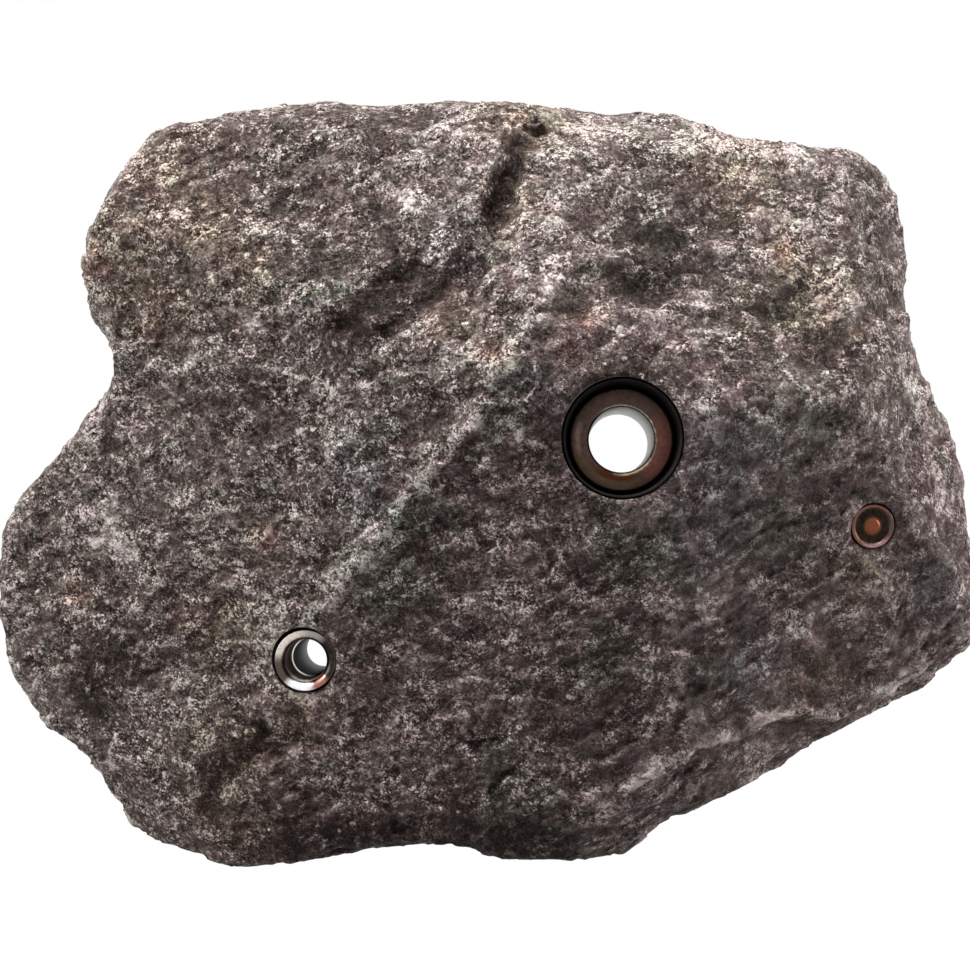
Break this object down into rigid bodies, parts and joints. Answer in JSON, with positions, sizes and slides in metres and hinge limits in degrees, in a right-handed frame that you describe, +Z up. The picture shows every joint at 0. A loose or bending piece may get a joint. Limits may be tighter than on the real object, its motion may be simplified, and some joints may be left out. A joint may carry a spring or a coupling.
{
  "type": "climbing hold",
  "caption": "Large bolt-on climbing hold of split natural stone, flat sawn back, with a recessed bolt insert, a countersunk screw insert and a small plain metal disc.",
  "frame": {"origin": "on the main bolt's axis, in the plane of the wall that the hold is bolted to", "axes": "+Z up as in the picture, +X to the right, -Y out of the wall towards the climber, +Y into the wall along the bolt"},
  "size_m": [0.1747, 0.0546, 0.1355],
  "materials": {
    "stone": "matte",
    "cup_steel": "satin",
    "browned_steel": "satin",
    "bright_steel": "polished",
    "dull_steel": "satin",
    "adhesive": "satin",
    "copper": "satin"
  },
  "bodies": {
    "root": {"stone_body": "stone", "bolt_cup": "cup_steel", "seat_washer": "browned_steel", "bolt_sleeve": "bright_steel", "bolt_bedding": "adhesive", "screw_ferrule": "bright_steel", "screw_sleeve": "dull_steel", "screw_bedding": "adhesive", "marker_disc": "copper", "marker_bedding": "adhesive"}
  },
  "joints": []
}
